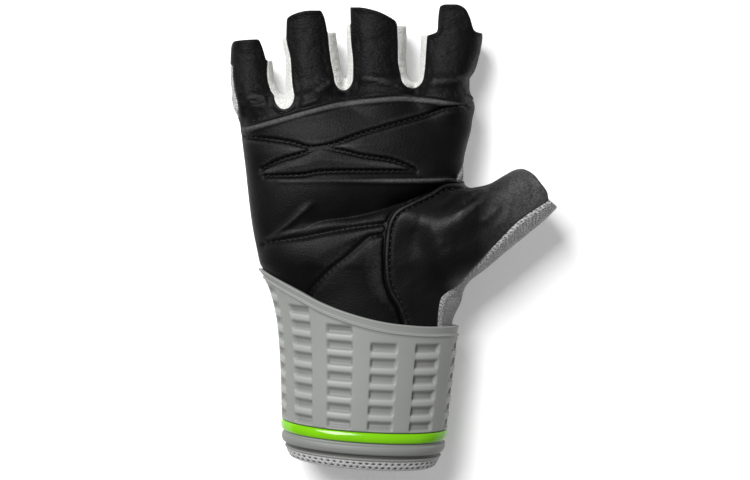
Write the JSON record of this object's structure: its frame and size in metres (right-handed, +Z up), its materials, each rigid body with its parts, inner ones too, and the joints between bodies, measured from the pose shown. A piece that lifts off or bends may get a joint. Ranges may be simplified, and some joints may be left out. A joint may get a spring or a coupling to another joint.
{
  "type": "fingerless training glove",
  "caption": "Right-hand fingerless training glove with a padded leather palm, fabric back and long moulded wrist sleeve.",
  "frame": {"origin": "middle of the glove's outline on the floor that its back lies on", "axes": "+X to the thumb side, +Y to the fingertips, +Z up out of the palm"},
  "size_m": [0.145, 0.204, 0.0446],
  "materials": {
    "palm_leather": "soft grained black leather, slightly shiny on the ridges",
    "thumb_leather": "soft grained black leather, slightly shiny on the ridges",
    "back_fabric": "matt grey stretch mesh",
    "strip_fabric": "off-white brushed knit",
    "sleeve_rubber": "satin grey moulded rubber",
    "stripe_rubber": "glossy lime green",
    "hem_fabric": "matt grey woven tape"
  },
  "bodies": {
    "root": {"palm_panel": "palm_leather", "thumb_panel": "thumb_leather", "back_panel": "back_fabric", "fourchette_pinky_ring": "strip_fabric", "fourchette_ring_middle": "strip_fabric", "fourchette_middle_index": "strip_fabric", "cuff_sleeve": "sleeve_rubber", "cuff_stripe": "stripe_rubber", "cuff_hem": "hem_fabric"}
  },
  "joints": []
}
